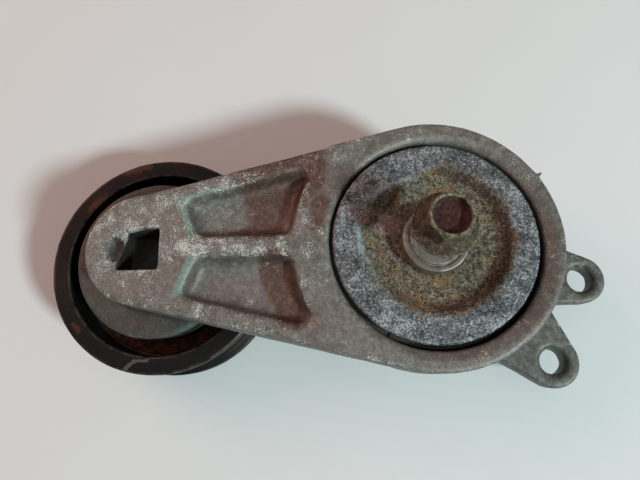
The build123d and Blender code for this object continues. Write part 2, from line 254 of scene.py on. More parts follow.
def lathe(name, corners, centre, segments, step):
    """A turned mesh from a closed outline of (radius, height, rounding) corners."""
    profile = rounded_profile(corners, step)
    angle = np.arange(segments) / segments * TURN
    radius, height = profile[:, :1], profile[:, 1:]
    rows = np.stack([
        centre[0] + radius * np.cos(angle),
        centre[1] + radius * np.sin(angle),
        np.broadcast_to(height, (len(profile), segments)),
    ], 2)
    return spun_mesh(name, rows, closed=True)


# ---------------------------------------------------------------- material tools
class Graph:
    """A material's node tree, built by short calls that return sockets.

    Wherever a socket is taken, a plain number or colour can be given instead.
    """

    def __init__(self, name):
        self.material = bpy.data.materials.new(name)
        self.material.use_nodes = True
        self.tree = self.material.node_tree
        self.shader = self.tree.nodes["Principled BSDF"]
        self.place = self.add("ShaderNodeTexCoord").outputs["Object"]

    def add(self, kind, **settings):
        node = self.tree.nodes.new(kind)
        for key, value in settings.items():
            setattr(node, key, value)
        return node

    def put(self, socket, value):
        if isinstance(value, bpy.types.NodeSocket):
            self.tree.links.new(value, socket)
        elif socket.type == "RGBA":
            socket.default_value = (*value, 1)
        else:
            socket.default_value = value

    def math(self, operation, first, second):
        node = self.add("ShaderNodeMath", operation=operation)
        self.put(node.inputs[0], first)
        self.put(node.inputs[1], second)
        return node.outputs[0]

    def plus(self, first, second):
        return self.math("ADD", first, second)

    def times(self, first, second):
        return self.math("MULTIPLY", first, second)

    def swing(self, noise, reach):
        """A noise from 0 to 1 as a swing to both sides of zero, reach wide in all."""
        return self.times(self.math("SUBTRACT", noise, 0.5), reach)

    def noise(self, size, detail=4.0, roughness=0.6, place=None, seed=0.0):
        """Noise from 0 to 1, with features of about size millimetres."""
        node = self.add("ShaderNodeTexNoise", noise_dimensions="4D")
        self.put(node.inputs["Vector"], place or self.place)
        self.put(node.inputs["W"], seed)
        self.put(node.inputs["Scale"], 1 / (size * MM))
        self.put(node.inputs["Detail"], detail)
        self.put(node.inputs["Roughness"], roughness)
        return node.outputs[0]

    def step(self, value, low, high, start=0.0, end=1.0):
        """A smooth rise from start at low to end at high."""
        node = self.add("ShaderNodeMapRange", interpolation_type="SMOOTHSTEP")
        for socket, number in zip(node.inputs, (value, low, high, start, end)):
            self.put(socket, number)
        return node.outputs[0]

    def blend(self, factor, first, second):
        """The first colour where factor is 0, and the second where it is 1."""
        node = self.add("ShaderNodeMix", data_type="RGBA")
        self.put(node.inputs[0], factor)
        self.put(node.inputs[6], first)
        self.put(node.inputs[7], second)
        return node.outputs[2]

    def blend_value(self, factor, first, second):
        """The first number where factor is 0, and the second where it is 1."""
        node = self.add("ShaderNodeMix")
        self.put(node.inputs[0], factor)
        self.put(node.inputs[2], first)
        self.put(node.inputs[3], second)
        return node.outputs[0]

    def painted(self, name):
        """The number that paint() stored under this name."""
        return self.add("ShaderNodeAttribute", attribute_name=name).outputs["Fac"]

    def axis(self, letter):
        split = self.add("ShaderNodeSeparateXYZ")
        self.put(split.inputs[0], self.place)
        return split.outputs[letter]

    def combine(self, x, y, z=0.0):
        node = self.add("ShaderNodeCombineXYZ")
        for socket, value in zip(node.inputs, (x, y, z)):
            self.put(socket, value)
        return node.outputs[0]

    def from_axis(self, centre):
        """Distance from a vertical line through centre, in metres."""
        flat = self.add("ShaderNodeVectorMath", operation="SUBTRACT")
        self.put(flat.inputs[0], self.place)
        self.put(flat.inputs[1], (centre[0], centre[1], 0))
        only_plan = self.add("ShaderNodeVectorMath", operation="MULTIPLY")
        self.put(only_plan.inputs[0], flat.outputs[0])
        self.put(only_plan.inputs[1], (1, 1, 0))
        length = self.add("ShaderNodeVectorMath", operation="LENGTH")
        self.put(length.inputs[0], only_plan.outputs[0])
        return length.outputs["Value"]

    def bump(self, height, depth, strength=1.0):
        """Bumps as deep as depth millimetres where height runs from 0 to 1."""
        node = self.add("ShaderNodeBump")
        self.put(node.inputs["Height"], height)
        self.put(node.inputs["Distance"], depth * MM)
        self.put(node.inputs["Strength"], strength)
        return node.outputs[0]

    def finish(self, color, roughness, metallic, normal=None):
        self.put(self.shader.inputs["Base Color"], color)
        self.put(self.shader.inputs["Roughness"], roughness)
        self.put(self.shader.inputs["Metallic"], metallic)
        if normal:
            self.put(self.shader.inputs["Normal"], normal)
        return self.material


# ---------------------------------------------------------------- materials
def cast_aluminium(name, grey, brown, specks):
    """Weathered die casting: two drifting greys under rust stain, verdigris, oxide, dirt and
    painted shade.

    It reads the painted layers stain, verdigris, oxide, convex and shade_and_grime.
    """
    g = Graph(name)
    color = g.blend(g.step(g.noise(22, 3), 0.38, 0.62), grey, brown)
    mottle = g.noise(1.9, 5, 0.65)
    paler = g.blend(0.5, color, (0.40, 0.385, 0.35))
    color = g.blend(g.step(mottle, 0.35, 0.7), color, paler)
    pits = g.step(g.noise(0.6, 3, 0.8, seed=13), 0.56, 0.36, 0.0, 0.6)
    color = g.blend(pits, color, (0.095, 0.086, 0.076))
    clouds = g.step(g.noise(5.5, 5, 0.7, seed=12), 0.50, 0.36, 0.0, 0.55)
    color = g.blend(clouds, color, (0.105, 0.092, 0.080))
    spots = g.step(g.noise(0.8, 4, 0.7, seed=3), 0.46, 0.33, 0.0, 0.7)
    color = g.blend(spots, color, (0.075, 0.066, 0.058))

    # Rust stain; on the arm the stain layer also holds painted shade in the pockets and along the
    # rib.
    stain = g.step(g.plus(g.painted("stain"), g.swing(g.noise(3.2, 5), 0.9)), 0.38, 0.80)
    rust_tone = g.step(g.noise(1.1, 4, seed=5), 0.42, 0.66)
    rust = g.blend(rust_tone, (0.082, 0.042, 0.033), (0.185, 0.092, 0.066))
    color = g.blend(g.times(stain, 0.88), color, rust)

    patchy = g.swing(g.noise(1.6, 5, seed=2), 1.0)
    crust = g.step(g.plus(g.painted("verdigris"), patchy), 0.36, 0.72)
    teal = g.blend(g.noise(0.9, 3, seed=8), (0.10, 0.19, 0.165), (0.30, 0.42, 0.36))
    color = g.blend(g.times(crust, 0.78), color, teal)

    clusters = g.swing(g.noise(4.2, 6, 0.75, seed=1), 1.12)
    amount = g.plus(clusters, g.times(g.painted("oxide"), specks))
    grains = g.plus(g.times(g.noise(0.50, 3, 0.85, seed=4), 1.4), amount)
    worn = g.times(g.step(g.painted("convex"), 0.1, 0.9), 0.05)
    oxide = g.step(g.plus(grains, worn), 0.895, 1.02)
    color = g.blend(g.times(oxide, 0.86), color, (0.76, 0.75, 0.69))
    # Painted shade, with dirt: darker in concave creases.
    corners = g.step(g.painted("convex"), -0.2, -0.95, 0.0, 0.5)
    color = g.blend(corners, color, (0.05, 0.043, 0.037))
    uneven = g.step(g.noise(1.5, 4, 0.6, seed=11), 0.1, 0.6, 0.75, 1.0)
    # Painted shade, with some dirt: near-black where the shade_and_grime layer is painted.
    color = g.blend(g.times(g.painted("shade_and_grime"), uneven), color, (0.020, 0.017, 0.014))

    roughness = g.blend_value(oxide, g.step(mottle, 0.2, 0.8, 0.42, 0.66), 0.9)
    height = g.plus(g.times(g.noise(0.45, 4, 0.65, seed=6), 0.8), oxide)
    return g.finish(color, roughness, 0.32, g.bump(height, 0.11, 0.75))


def rusted_cap():
    """Zinc-grey plate under white corrosion, with rust, painted shade and painted highlight in its
    dish.

    It reads the painted layers dish, slope_rust_and_shade, spur and frost_and_highlight.
    """
    g = Graph("rusted_cap")
    base = g.blend(g.noise(9, 3), (0.106, 0.112, 0.122), (0.138, 0.140, 0.144))
    paler_left = g.times(g.axis("X"), -0.25)
    clusters = g.plus(g.swing(g.noise(3.6, 4, 0.65, seed=2), 0.55), paler_left)
    grains = g.noise(0.72, 3, 0.8, seed=1)
    white = g.step(g.plus(grains, clusters), 0.49, 0.62)
    dark = g.step(g.plus(g.noise(0.85, 4, 0.78, seed=7), clusters), 0.50, 0.40)
    rim = g.blend(dark, base, (0.034, 0.036, 0.040))
    rim = g.blend(g.times(white, 0.80), rim, (0.47, 0.51, 0.525))

    ragged = g.swing(g.noise(3.0, 5, 0.75, seed=10), 2.4)
    earthy = g.step(g.noise(1.1, 5, 0.7, seed=3), 0.40, 0.62)
    rust = g.blend(earthy, (0.038, 0.028, 0.018), (0.215, 0.190, 0.130))
    orange = g.plus(g.noise(1.0, 4, 0.75, seed=4), g.swing(g.noise(7, 3, seed=9), 0.65))
    rust = g.blend(g.step(orange, 0.51, 0.66), rust, (0.255, 0.130, 0.042))
    # Darker red rust with painted shade, for the dish's wall on its right.
    reddish = g.step(g.noise(0.8, 4, 0.8, seed=8), 0.45, 0.68)
    dark_red_and_shade = g.blend(reddish, (0.026, 0.016, 0.012), (0.17, 0.078, 0.040))
    slope_rust_and_shade = g.step(g.plus(g.painted("slope_rust_and_shade"), ragged), 0.3, 1.0, 0.0, 0.85)
    rust = g.blend(slope_rust_and_shade, rust, dark_red_and_shade)
    pale_specks = g.step(g.noise(0.62, 4, 0.78, seed=5), 0.54, 0.66)
    rust = g.blend(pale_specks, rust, (0.46, 0.44, 0.36))
    pits = g.step(g.noise(0.65, 4, 0.75, seed=6), 0.48, 0.39)
    rust = g.blend(pits, rust, (0.016, 0.011, 0.008))

    in_dish = g.step(g.plus(g.painted("dish"), ragged), 0.35, 0.75)
    color = g.blend(in_dish, rim, rust)
    stain = g.step(g.plus(g.painted("spur"), ragged), 0.40, 0.62)
    crust = g.blend(g.step(grains, 0.36, 0.66), (0.080, 0.054, 0.046), (0.50, 0.39, 0.34))
    color = g.blend(g.times(stain, 0.80), color, crust)
    # Pale frost and a painted highlight on the dish's left edge, which faces the light.
    frost_and_highlight = g.step(g.plus(g.painted("frost_and_highlight"), ragged), 0.40, 1.10)
    pale = g.blend(g.step(grains, 0.35, 0.65), (0.17, 0.25, 0.27), (0.42, 0.52, 0.54))
    color = g.blend(g.times(frost_and_highlight, 0.8), color, pale)

    height = g.plus(grains, g.times(g.noise(0.5, 3, 0.7, seed=12), 0.6))
    roughness = g.blend_value(in_dish, g.step(grains, 0.3, 0.7, 0.38, 0.62), 0.85)
    metallic = g.blend_value(in_dish, 0.35, 0.05)
    return g.finish(color, roughness, metallic, g.bump(height, 0.20, 0.9))


def rusted_bolt():
    """Old rust on a plated bolt; it reads the painted layers convex and hollow: red rust and
    painted shadow.
    """
    g = Graph("rusted_bolt")
    patches = g.step(g.noise(2.2, 5, 0.7), 0.42, 0.62)
    color = g.blend(patches, (0.036, 0.022, 0.014), (0.128, 0.100, 0.058))
    orange = g.step(g.noise(0.8, 4, 0.75, seed=2), 0.55, 0.66)
    color = g.blend(orange, color, (0.21, 0.115, 0.045))
    pale_specks = g.step(g.noise(0.7, 3, 0.7, seed=3), 0.60, 0.70)
    color = g.blend(pale_specks, color, (0.40, 0.38, 0.29))
    pits = g.step(g.noise(0.9, 3, 0.7, seed=4), 0.42, 0.32)
    color = g.blend(pits, color, (0.016, 0.011, 0.009))
    # Lighter rubbed edges: wear, with a painted highlight on the convex edges.
    edge = g.step(g.painted("convex"), 0.15, 0.75)
    rubbed_and_highlight = g.times(edge, g.step(g.noise(1.2, 4, seed=6), 0.38, 0.6))
    color = g.blend(rubbed_and_highlight, color, (0.25, 0.23, 0.16))
    # Redder rust for the head's hollow, and a painted shadow for the band under the flange.
    reddish = g.step(g.noise(0.9, 4, 0.7, seed=5), 0.40, 0.65)
    red_rust_and_shadow = g.blend(reddish, (0.026, 0.010, 0.009), (0.115, 0.030, 0.022))
    color = g.blend(g.painted("hollow"), color, red_rust_and_shadow)
    height = g.plus(g.noise(0.55, 4, 0.7, seed=7), g.times(patches, 0.5))
    return g.finish(color, g.step(height, 0.3, 0.9, 0.62, 0.9), 0.25, g.bump(height, 0.16, 0.85))


def turned_steel(name, centre, bright, dull, tint, roughness):
    """Machined steel with the fine rings that a lathe tool or a turning washer leaves."""
    g = Graph(name)
    place = g.combine(g.from_axis(centre), g.times(g.noise(14, 2), 0.0006))
    rings = g.noise(0.16, 3, 0.75, place=place)
    wide = g.noise(0.9, 2, 0.6, place=place, seed=2)
    color = g.blend(g.step(rings, 0.3, 0.7), dull, bright)
    color = g.blend(g.step(wide, 0.46, 0.34, 0.0, 0.75), color, (0.10, 0.105, 0.09))
    smear = g.step(g.noise(2.4, 5, 0.7, seed=4), 0.44, 0.60)
    color = g.blend(g.times(smear, 0.75), color, tint)
    brushed = g.step(rings, 0.2, 0.8, roughness, roughness + 0.16)
    shine = g.plus(brushed, g.times(smear, 0.12))
    return g.finish(color, shine, 0.85, g.bump(rings, 0.02, 0.8))


def pulley_steel():
    """Black-brown worn steel; it reads the painted layers track, web, convex, scuff and rust."""
    g = Graph("pulley_steel")
    patches = g.step(g.noise(11, 4, 0.55), 0.42, 0.64)
    color = g.blend(patches, (0.0145, 0.0155, 0.0160), (0.0225, 0.0190, 0.0172))
    dust = g.step(g.noise(1.4, 5, 0.7, seed=2), 0.56, 0.74, 0.0, 0.5)
    color = g.blend(dust, color, (0.052, 0.044, 0.036))
    blooms = g.step(g.noise(4.5, 4, 0.6, seed=9), 0.62, 0.72, 0.0, 0.7)
    color = g.blend(blooms, color, (0.080, 0.028, 0.019))
    wander = g.times(g.noise(25, 2, seed=3), 0.004)
    place = g.combine(g.from_axis(PULLEY), wander, g.times(g.axis("Z"), 0.6))
    streaks = g.noise(0.35, 3, 0.7, place=place)
    color = g.blend(g.step(streaks, 0.52, 0.78, 0.0, 0.45), color, (0.050, 0.050, 0.049))
    color = g.blend(g.times(g.painted("track"), 0.65), color, (0.115, 0.112, 0.108))
    web_tone = g.step(g.noise(2.2, 4, 0.6, seed=5), 0.38, 0.62)
    web = g.blend(web_tone, (0.040, 0.018, 0.014), (0.130, 0.056, 0.042))
    color = g.blend(g.painted("web"), color, web)
    edge = g.step(g.painted("convex"), 0.30, 0.85)
    worn = g.times(edge, g.step(g.noise(2.5, 4, seed=6), 0.36, 0.60))
    color = g.blend(g.times(worn, 0.5), color, (0.14, 0.135, 0.12))
    patchy = g.swing(g.noise(2.0, 5, 0.7, seed=7), 1.6)
    scuff = g.step(g.plus(g.painted("scuff"), patchy), 0.45, 0.75)
    color = g.blend(g.times(scuff, 0.7), color, (0.16, 0.17, 0.185))
    rust = g.step(g.plus(g.painted("rust"), patchy), 0.40, 0.80)
    color = g.blend(g.times(rust, 0.7), color, (0.105, 0.050, 0.030))
    shine = g.math("SUBTRACT", g.step(streaks, 0.2, 0.8, 0.40, 0.62), g.times(worn, 0.1))
    height = g.plus(g.noise(0.6, 4, 0.65, seed=8), g.times(streaks, 0.6))
    return g.finish(color, shine, 0.8, g.bump(height, 0.05, 0.8))


def zinc_sheet():
    """Dull zinc plate with fine spangle and a few rust blooms."""
    g = Graph("zinc_sheet")
    color = g.blend(g.noise(3.5, 4), (0.17, 0.165, 0.155), (0.27, 0.265, 0.255))
    bloom = g.step(g.noise(2.6, 5, 0.7, seed=2), 0.58, 0.70)
    color = g.blend(g.times(bloom, 0.7), color, (0.19, 0.09, 0.045))
    shine = g.step(g.noise(1.2, 4), 0.3, 0.7, 0.50, 0.72)
    return g.finish(color, shine, 0.7, g.bump(g.noise(0.5, 3), 0.03))


def moulded(name, color, light, roughness):
    """Moulded nylon or rubber: a fine grain, a slight drift of colour and rubbed dust."""
    g = Graph(name)
    tone = g.blend(g.noise(6, 3), color, light)
    dust = g.step(g.noise(1.5, 5, 0.7, seed=3), 0.56, 0.72)
    tone = g.blend(g.times(dust, 0.35), tone, (0.22, 0.20, 0.17))
    grain = g.noise(0.3, 3, 0.6, seed=2)
    shine = g.step(grain, 0.3, 0.7, roughness, roughness + 0.15)
    return g.finish(tone, shine, 0.0, g.bump(grain, 0.02))


def oiled_steel(name, color, roughness):
    """Ground or drawn steel under a film of old oil."""
    g = Graph(name)
    film = g.step(g.noise(5, 4, 0.6), 0.4, 0.65)
    tone = g.blend(film, color, tuple(0.45 * part for part in color))
    scratches = g.noise(0.25, 3, 0.7, seed=2)
    shine = g.step(scratches, 0.2, 0.8, roughness, roughness + 0.18)
    return g.finish(tone, shine, 0.95, g.bump(scratches, 0.01))


# ---------------------------------------------------------------- castings
def remeshed(node, voxel, rounds):
    """The node's shape as an even mesh whose edges are softly rounded, like a casting's.

    voxel is the mesh's spacing in millimetres, and rounds is how often it is relaxed.
    """
    source = bpy.data.objects.new("casting_source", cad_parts[node].data.copy())
    bpy.context.scene.collection.objects.link(source)
    weld = source.modifiers.new("weld", "WELD")
    weld.merge_threshold = 0.001 * MM
    remesh = source.modifiers.new("remesh", "REMESH")
    remesh.mode = "VOXEL"
    remesh.voxel_size = voxel * MM
    evaluated = source.evaluated_get(bpy.context.evaluated_depsgraph_get())
    mesh = bpy.data.meshes.new_from_object(evaluated)
    bpy.data.objects.remove(source)
    move_vertices(mesh, relaxed(vertex_places(mesh), mesh_edges(mesh), rounds))
    return mesh


SOCKET = np.array([-92.4, 0]) * MM      # middle of the square drive socket
SOCKET_HALF = 6.55 * MM
SOCKET_LEAN, SOCKET_DROOP = 3.1 * MM, 1.5 * MM    # how far two of its edges are driven over
RECESS = np.array([1.4, -0.6]) * MM     # middle of the round recess that holds the cap
RECESS_LEAN = 2.1 * MM
PUNCH = np.array([-99.3, 0.2]) * MM     # middle of the oval punch mark
PUNCH_HALF = np.array([2.6, 4.3]) * MM
PUNCH_DEPTH = 2.4 * MM
POCKET_REACH = 8 * MM                   # below the pockets' floors, above the rear pockets
POCKET_CORNER = np.array([-36, 27]) * MM    # near a pocket's outer corner, beside the ring


def soften_pockets(mesh):
    """Rounds the walls of the two pockets well over, and their corners beside the ring more."""
    places, edges = vertex_places(mesh), mesh_edges(mesh)
    x, y, z = places.T
    aside = np.abs(y)                   # the two pockets mirror each other
    near_top = z > ARM_TOP - POCKET_REACH
    share = smooth_step(x, -96 * MM, -88 * MM) * (1 - smooth_step(x, -44 * MM, -40 * MM))
    share = share * (1 - smooth_step(aside, 29 * MM, 33 * MM)) * near_top
    beside_socket = share * smooth_step(aside, 7.5 * MM, 9 * MM)
    share = np.where(x < -80 * MM, beside_socket, share)
    from_corner = np.hypot(x - POCKET_CORNER[0], aside - POCKET_CORNER[1])
    corner = 1 - smooth_step(from_corner, 5 * MM, 10 * MM)
    outward = 0.969 * aside - 0.246 * x     # across the arm's straight side
    corner = corner * (1 - smooth_step(outward, 38.5 * MM, 41 * MM)) * near_top
    places = places + (relaxed(places, edges, 40) - places) * share[:, None]
    places = places + (relaxed(places, edges, 110) - places) * corner[:, None]
    move_vertices(mesh, places)


def in_punch_mark(x, y):
    """1 in the middle of the oval punch mark, and 0 on its edge."""
    return 1 - ((x - PUNCH[0]) / PUNCH_HALF[0]) ** 2 - ((y - PUNCH[1]) / PUNCH_HALF[1]) ** 2


def stake_socket(mesh):
    """Drives the metal beside the punch mark over into the square socket."""
    places = vertex_places(mesh)
    x, y, z = places.T
    wall, ceiling = SOCKET[0] - SOCKET_HALF, SOCKET[1] + SOCKET_HALF
    driven = smooth_step(z, ARM_TOP - 6 * MM, ARM_TOP - 1.5 * MM)
    lean = smooth_step(x, wall - 3.0 * MM, wall - 0.2 * MM) * (x < wall + 1.5 * MM)
    lean = lean * smooth_step(y, -6.0 * MM, 4.5 * MM) * (1 - smooth_step(y, 5.5 * MM, 9.5 * MM))
    places[:, 0] += SOCKET_LEAN * (lean * driven)
    droop = smooth_step(y, ceiling + 2.5 * MM, ceiling + 0.2 * MM) * (y > ceiling - 1.5 * MM)
    droop = droop * smooth_step(x, -90 * MM, -97 * MM) * smooth_step(x, -102 * MM, -98.5 * MM)
    places[:, 1] -= SOCKET_DROOP * (droop * driven)
    inside = in_punch_mark(x, y)
    dent = (inside > 0) & (z > ARM_TOP - 2.2 * MM)
    places[dent, 2] = ARM_TOP - PUNCH_DEPTH * inside[dent] ** 0.4
    corner = np.exp(-(np.hypot(x - wall, y - ceiling) / (3.5 * MM)) ** 2) * (z > ARM_TOP - 7 * MM)
    share = np.minimum(1, 1.6 * corner)[:, None]
    soft = relaxed(places, mesh_edges(mesh), 12)
    move_vertices(mesh, places + (soft - places) * share)


def lean_recess(mesh):
    """Slopes the wall of the cap's recess inwards on the side away from the pulley."""
    places = vertex_places(mesh)
    flat = places[:, :2] - RECESS
    reach = np.linalg.norm(flat, axis=1)
    outward = flat / reach[:, None]
    side = 0.5 + 0.5 * outward @ np.array([0.92, -0.39])
    on_wall = 1 - smooth_step(reach, 34.4 * MM, 37.5 * MM)
    share = smooth_step(reach, 29.5 * MM, 33.6 * MM) * on_wall
    deep = ARM_TOP - places[:, 2]
    share = share * side * smooth_step(deep, 0.1 * MM, 2.2 * MM) * (deep < 12 * MM)
    places[:, :2] -= outward * (RECESS_LEAN * share)[:, None]
    move_vertices(mesh, places)


def arm_shade_and_grime(x, y, z, upright):
    """How dark the painted shade and dirt lie on the arm: in its hollows, under it, on its right
    and sides.
    """
    deep = ARM_TOP - z
    in_socket = np.maximum(np.abs(x - SOCKET[0]), np.abs(y - SOCKET[1])) < 8 * MM
    in_recess = np.hypot(x - RECESS[0], y - RECESS[1]) < 34.9 * MM
    punched = 1 - smooth_step(1 - in_punch_mark(x, y), 0.8, 1.05)
    punched = punched * smooth_step(x, PUNCH[0] + 1.2 * MM, PUNCH[0] - 0.8 * MM)
    below = smooth_step(deep, 12.4 * MM, 13.6 * MM) * (np.hypot(x, y) > 40 * MM)
    return np.max([
        # painted shade deep in the square socket, with dirt
        0.93 * in_socket * smooth_step(deep, 0.9 * MM, 2.4 * MM),
        # painted shade on the wall of the cap's recess
        0.85 * in_recess * smooth_step(deep, 2.6 * MM, 5.0 * MM),
        # painted shade in the left half of the punch mark
        0.55 * punched * (deep < 4 * MM),
        # darker under the arm's plate
        0.68 * below,
        # painted shade towards the arm's right end
        0.26 * smooth_step(x, 18 * MM, 38 * MM),
        # darker on upright sides
        0.32 * upright,
    ], axis=0)


def paint_arm(mesh):
    """Paints where oxide, rust stain, verdigris, dirt and painted shade lie; each mark gives its
    amount last.
    """
    places = vertex_places(mesh)
    x, y, z = places.T
    near_top = smooth_step(z, ARM_TOP - 2.0 * MM, ARM_TOP - 0.6 * MM)
    in_pocket = (1 - near_top) * (z > ARM_TOP - 7 * MM)
    upper = smooth_step(z, ARM_TOP - 11 * MM, ARM_TOP - 6 * MM)

    oxide = 0.10 * near_top - 0.10 * in_pocket
    for start, end, reach, amount in (
        ((-101, 6), (-84, 12), 12, 0.30),
        ((-101, -8), (-88, -10), 8, 0.15),
        ((-78, 0), (-50, 0), 4.5, 0.39),
        ((-76, 18), (-60, 22), 5, 0.26),
        ((-78, -17), (-50, -25), 5, 0.18),
        ((-39, 3), (-40, 16), 4, 0.20),
        ((-30, 31), (-22, 34), 5, 0.20),
        ((-36, -14), (-38, -5), 5, 0.16),
        ((-20, -36), (-10, -38), 5, 0.10),
        ((30, 22), (38, 2), 7, 0.10),
        ((-69, 9), (-60, 15), 4, 0.26),
        ((-55, 12), (-50, 20), 3.5, 0.22),
        ((-60, -13), (-56, -15), 3, 0.22),
    ):
        oxide = oxide + amount * mark(places, start, end, reach)
    paint(mesh, "oxide", oxide)

    stain = 0.10 * near_top
    for start, end, reach, amount in (
        # The first five marks, at the pockets' ends by the ring and along the rib's side, are
        # painted shade as well as rust stain; the rest are rust stain.
        ((-56, 21), (-40, 25), 8, 1.0),
        ((-53, 8), (-45, 20), 7.5, 0.8),
        ((-76, 4.6), (-50, 5.2), 2.0, 0.60),
        ((-50, -6), (-45, -22), 4.6, 1.2),
        ((-52, -8), (-49, -14), 4, 0.5),
        ((-36, 6), (-35, 12), 4, 0.70),
        ((-100, -14), (-88, -19), 4, 0.35),
        ((-70, 27), (-42, 31), 2.6, 0.60),
    ):
        stain = stain + amount * upper * mark(places, start, end, reach)
    paint(mesh, "stain", stain)

    boss_edge = np.abs(np.hypot(x - PULLEY[0], y - PULLEY[1]) - 26.2 * MM)
    lower_right = smooth_step(x, PULLEY[0] + 2 * MM, PULLEY[0] + 9 * MM) * (z < ARM_TOP - 12 * MM)
    verdigris = 0.75 * lower_right * np.exp(-(boss_edge / (2.2 * MM)) ** 2)
    for start, end, reach, amount in (
        ((-75.5, 3), (-79.5, 15), 1.7, 0.72),
        ((-79.5, 15.5), (-66, 19.5), 1.4, 0.60),
        ((-75.5, -3), (-80, -15), 1.9, 0.72),
        ((-72, -3.2), (-52, -3.2), 0.9, 0.35),
        ((-97.3, 3), (-97.5, -2.5), 0.8, 0.55),
        ((-99.5, -2), (-98.5, -5.5), 1.3, 0.35),
    ):
        verdigris = verdigris + amount * mark(places, start, end, reach)
    paint(mesh, "verdigris", verdigris)

    upright = 1 - smooth_step(np.abs(vertex_normals(mesh)[:, 2]), 0.25, 0.8)
    paint(mesh, "shade_and_grime", arm_shade_and_grime(x, y, z, upright))


def make_arm():
    mesh = remeshed("arm_casting", voxel=0.5, rounds=4)
    soften_pockets(mesh)
    lean_recess(mesh)
    stake_socket(mesh)
    roughen(mesh, [(7, 0.09, 1), (2.4, 0.06, 2), (1.1, 0.035, 3)], (ARM_LOW, ARM_HIGH))
    paint_curvature(mesh, 0.16 * MM)
    paint_arm(mesh)
    material = cast_aluminium("cast_arm", (0.172, 0.167, 0.149), (0.188, 0.155, 0.136), 0.42)
    new_piece("arm_body", mesh, "arm", "arm_casting", material)


def make_base():
    mesh = remeshed("base_housing", voxel=0.6, rounds=4)
    roughen(mesh, [(6, 0.08, 5), (2.2, 0.05, 6), (1.1, 0.03, 7)], node_box("base_housing"))
    paint_curvature(mesh, 0.16 * MM)
    places = vertex_places(mesh)
    count = len(places)
    paint(mesh, "oxide", np.full(count, 0.06))
    paint(mesh, "stain", 0.12 + 0.2 * (places[:, 2] < 0.4 * MM))
    paint(mesh, "verdigris", np.zeros(count))
    paint(mesh, "shade_and_grime", np.zeros(count))
    material = cast_aluminium("cast_base", (0.071, 0.079, 0.066), (0.082, 0.075, 0.061), 0.3)
    new_piece("base_body", mesh, "base", "base_housing", material)


# ---------------------------------------------------------------- front cap and pivot tube
DISH_CENTRE = np.array([0.4, 1.0]) * MM
DISH_WIDE, DISH_NARROW = 24.4 * MM, 19.2 * MM
DISH_FLOOR = 41.2 * MM
CHORD_ANGLE, CHORD_REACH = radians(115.8), 21.6 * MM    # flat side of the dish
CHANNEL_ANGLE = radians(157)            # a shallow channel runs into the dish from here
CHANNEL_HALF, CHANNEL_DEPTH = 4.6 * MM, 2.6 * MM


def into_dish(x, y):
    """How far a place lies inside the dish's edge, which is round but for its flat side."""
    round_edge = DISH_WIDE - np.hypot(x - DISH_CENTRE[0], y - DISH_CENTRE[1])
    flat_edge = CHORD_REACH - (x * np.cos(CHORD_ANGLE) + y * np.sin(CHORD_ANGLE))
    return np.minimum(round_edge, flat_edge)


def channel_place(x, y):
    """How far a place lies along the channel, from the pivot, and how far to its side."""
    along = x * np.cos(CHANNEL_ANGLE) + y * np.sin(CHANNEL_ANGLE)
    across = np.abs(-x * np.sin(CHANNEL_ANGLE) + y * np.cos(CHANNEL_ANGLE))
    return along, across


def cap_mesh():
    """The cap as a pressed sheet of even thickness, with its dish and its channel."""
    segments, rings, edge_rings = 420, 96, 6
    bore = node_radius("pivot_tube") - 2.3 * MM
    edge = 0.9 * MM                     # rounding of the rim
    flat = CAP_RADIUS - edge
    angle = np.arange(segments) / segments * TURN
    curl = np.sin(np.linspace(0.2, 1, edge_rings) * pi / 2)
    radius = np.concatenate([np.linspace(bore, flat, rings), flat + edge * curl])
    x = PIVOT[0] + radius[:, None] * np.cos(angle)
    y = PIVOT[1] + radius[:, None] * np.sin(angle)

    wall = DISH_WIDE - DISH_NARROW
    depth = (CAP_TOP - DISH_FLOOR) * smooth_step(into_dish(x, y), -0.3 * MM, wall + 0.6 * MM)
    along, across = channel_place(x, y)
    trough = 1 - smooth_step(across, 0.55 * CHANNEL_HALF, CHANNEL_HALF)
    fall = CHANNEL_DEPTH * (1 - smooth_step(along, 17 * MM, 30.5 * MM)) * (along > 0)
    depth = np.maximum(depth, fall * trough)
    rounding = edge - np.sqrt(edge**2 - np.clip(radius - flat, 0, edge) ** 2)
    upper = np.stack([x, y, CAP_TOP - depth - rounding[:, None]], 2)
    lower = np.stack([x, y, np.maximum(CAP_TOP - depth - SHEET, CAP_LOW)], 2)
    return spun_mesh("cap_plate", np.concatenate([lower, upper[::-1]]), closed=True)


